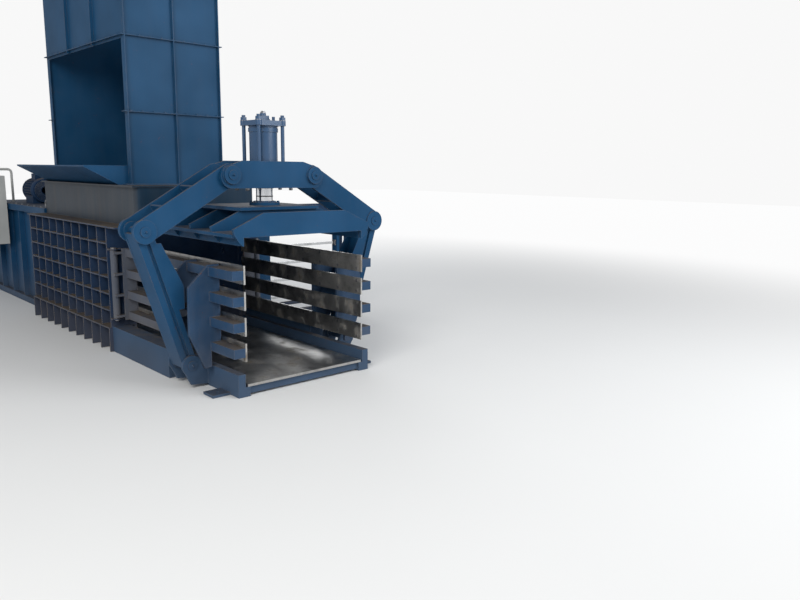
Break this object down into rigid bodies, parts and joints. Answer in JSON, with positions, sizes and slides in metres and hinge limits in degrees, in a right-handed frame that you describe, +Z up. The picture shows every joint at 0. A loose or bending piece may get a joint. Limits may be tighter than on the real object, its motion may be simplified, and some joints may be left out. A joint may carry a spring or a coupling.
{
  "type": "recycling baler",
  "caption": "Horizontal channel baler with a feed hopper, a ram, a tying unit and a knee-lever clamp that squeezes the bale at the open discharge end.",
  "frame": {"origin": "on the ground at the middle of the four anchor bolts", "axes": "+X along the machine towards the discharge mouth, +Z up, -Y on the side of the feed chute"},
  "size_m": [6.7, 3.391, 3.547],
  "materials": {
    "blue_paint": "satin blue paint, dusty and worn at edges",
    "deep_blue_paint": "darker blue paint, dusty",
    "worn_steel": "bare steel polished by sliding bales",
    "dark_steel": "oily dark steel",
    "grey_casting": "bare castings",
    "rod_chrome": "hard chrome with an oil film",
    "grey_paint": "light grey paint",
    "red_plastic": "gloss",
    "green_plastic": "gloss",
    "black_plastic": "matt"
  },
  "bodies": {
    "frame": {"base_frame": "blue_paint", "floor_liner": "worn_steel", "right_chamber_wall": "blue_paint", "right_needle_bay": "blue_paint", "left_chamber_wall": "blue_paint", "throat_box": "deep_blue_paint", "fixed_knife": "dark_steel", "hopper": "blue_paint", "hopper_bolts": "dark_steel", "feed_chute": "blue_paint", "ram_house": "blue_paint", "cylinder_mount": "deep_blue_paint", "main_barrel": "blue_paint", "main_gland": "worn_steel", "clamp_lugs": "blue_paint", "foot_pins": "blue_paint", "hinge_pins": "dark_steel", "oil_tank": "deep_blue_paint", "pump_motor": "deep_blue_paint", "pump": "grey_casting", "valve_block": "grey_casting", "main_pipes": "worn_steel", "control_cabinet": "grey_paint", "tier_frame": "deep_blue_paint", "twister_box": "blue_paint", "needle_drive": "deep_blue_paint"},
    "crosshead": {"crosshead": "blue_paint", "clamp_barrel": "blue_paint", "clamp_cap": "blue_paint", "clamp_tie_rods": "worn_steel", "crosshead_pins": "blue_paint"},
    "right_lever": {"right_lever": "blue_paint", "right_knee_pin": "blue_paint", "right_pusher": "dark_steel"},
    "left_lever": {"left_lever": "blue_paint", "left_knee_pin": "blue_paint", "left_pusher": "dark_steel"},
    "right_link": {"right_link": "blue_paint"},
    "left_link": {"left_link": "blue_paint"},
    "right_side_wall": {"right_side_wall": "blue_paint", "right_wear_strips": "worn_steel"},
    "left_side_wall": {"left_side_wall": "blue_paint", "left_wear_strips": "worn_steel"},
    "platen": {"platen": "blue_paint", "top_plate": "blue_paint"},
    "clamp_rod": {"clamp_rod": "rod_chrome", "clamp_piston": "worn_steel"},
    "ram": {"ram": "deep_blue_paint", "ram_knife": "dark_steel", "main_rod": "rod_chrome", "main_piston": "worn_steel"},
    "needle_carriage": {"needle_carriage": "blue_paint", "needles": "worn_steel"},
    "tank_cap": {"tank_cap": "black_plastic"},
    "cabinet_door": {"cabinet_door": "grey_paint"},
    "stop_button": {"stop_button": "red_plastic"},
    "start_button": {"start_button": "green_plastic"},
    "main_switch": {"main_switch": "black_plastic"},
    "access_door": {"access_door": "blue_paint"},
    "door_handle": {"door_handle": "dark_steel"}
  },
  "joints": [
    {"name": "crosshead_lift", "type": "slide", "parent": "frame", "child": "crosshead", "axis": [0, 0, 1], "range_m": [-0.06, 0.05]},
    {"name": "right_lever_swing", "type": "hinge", "parent": "frame", "child": "right_lever", "pos_m": [2.765, -0.765, 0.181], "axis": [1, 0, 0], "range_deg": [-1.38, 1.65]},
    {"name": "left_lever_swing", "type": "hinge", "parent": "frame", "child": "left_lever", "pos_m": [2.765, 0.765, 0.181], "axis": [1, 0, 0], "range_deg": [-1.65, 1.38]},
    {"name": "right_knee", "type": "hinge", "parent": "right_lever", "child": "right_link", "pos_m": [2.765, -1.088, 1.23], "axis": [1, 0, 0], "range_deg": [-5.84, 4.87]},
    {"name": "left_knee", "type": "hinge", "parent": "left_lever", "child": "left_link", "pos_m": [2.765, 1.088, 1.23], "axis": [1, 0, 0], "range_deg": [-4.87, 5.84]},
    {"name": "right_wall_swing", "type": "hinge", "parent": "frame", "child": "right_side_wall", "pos_m": [1.41, -0.745, 0.63], "axis": [0, 0, 1], "range_deg": [-0.54, 0.46]},
    {"name": "left_wall_swing", "type": "hinge", "parent": "frame", "child": "left_side_wall", "pos_m": [1.41, 0.745, 0.63], "axis": [0, 0, 1], "range_deg": [-0.46, 0.54]},
    {"name": "platen_swing", "type": "hinge", "parent": "frame", "child": "platen", "pos_m": [1.7, 0, 1.3], "axis": [0, 1, 0], "range_deg": [-2, 2]},
    {"name": "clamp_rod_swing", "type": "hinge", "parent": "platen", "child": "clamp_rod", "pos_m": [2.765, 0, 1.3], "axis": [0, 1, 0], "range_deg": [-2.05, 2.05]},
    {"name": "ram_stroke", "type": "slide", "parent": "frame", "child": "ram", "axis": [1, 0, 0], "range_m": [0, 1.877]},
    {"name": "needle_stroke", "type": "slide", "parent": "frame", "child": "needle_carriage", "axis": [0, -1, 0], "range_m": [0, 1.175]},
    {"name": "tank_cap_turn", "type": "hinge", "parent": "frame", "child": "tank_cap", "pos_m": [-2.52, 0.17, 1.72], "axis": [0, 0, 1], "range_deg": [0, 90]},
    {"name": "cabinet_door_swing", "type": "hinge", "parent": "frame", "child": "cabinet_door", "pos_m": [-2.782, -0.88, 1.13], "axis": [0, 0, -1], "range_deg": [0, 110]},
    {"name": "stop_button_press", "type": "slide", "parent": "cabinet_door", "child": "stop_button", "axis": [0, 1, 0], "range_m": [0, 0.008], "stiffness_N_per_m": 1500},
    {"name": "start_button_press", "type": "slide", "parent": "cabinet_door", "child": "start_button", "axis": [0, 1, 0], "range_m": [0, 0.006], "stiffness_N_per_m": 1200},
    {"name": "main_switch_turn", "type": "hinge", "parent": "cabinet_door", "child": "main_switch", "pos_m": [-2.39, -0.9, 1.36], "axis": [0, -1, 0], "range_deg": [0, 90]},
    {"name": "access_door_swing", "type": "hinge", "parent": "frame", "child": "access_door", "pos_m": [-2.34, 0.6, 0.645], "axis": [0, 0, 1], "range_deg": [0, 110]},
    {"name": "door_handle_turn", "type": "hinge", "parent": "access_door", "child": "door_handle", "pos_m": [-1.78, 0.6, 0.645], "axis": [0, 1, 0], "range_deg": [0, 90]}
  ],
  "couplings": [
    {"joint": "right_lever_swing", "follows": "crosshead_lift", "rad_per_m": -0.4645},
    {"joint": "left_lever_swing", "follows": "crosshead_lift", "rad_per_m": 0.4645},
    {"joint": "right_knee", "follows": "crosshead_lift", "rad_per_m": 1.684},
    {"joint": "left_knee", "follows": "crosshead_lift", "rad_per_m": -1.684},
    {"joint": "right_wall_swing", "follows": "crosshead_lift", "rad_per_m": 0.1416},
    {"joint": "left_wall_swing", "follows": "crosshead_lift", "rad_per_m": -0.1416},
    {"joint": "clamp_rod_swing", "follows": "platen_swing", "ratio": -1}
  ]
}
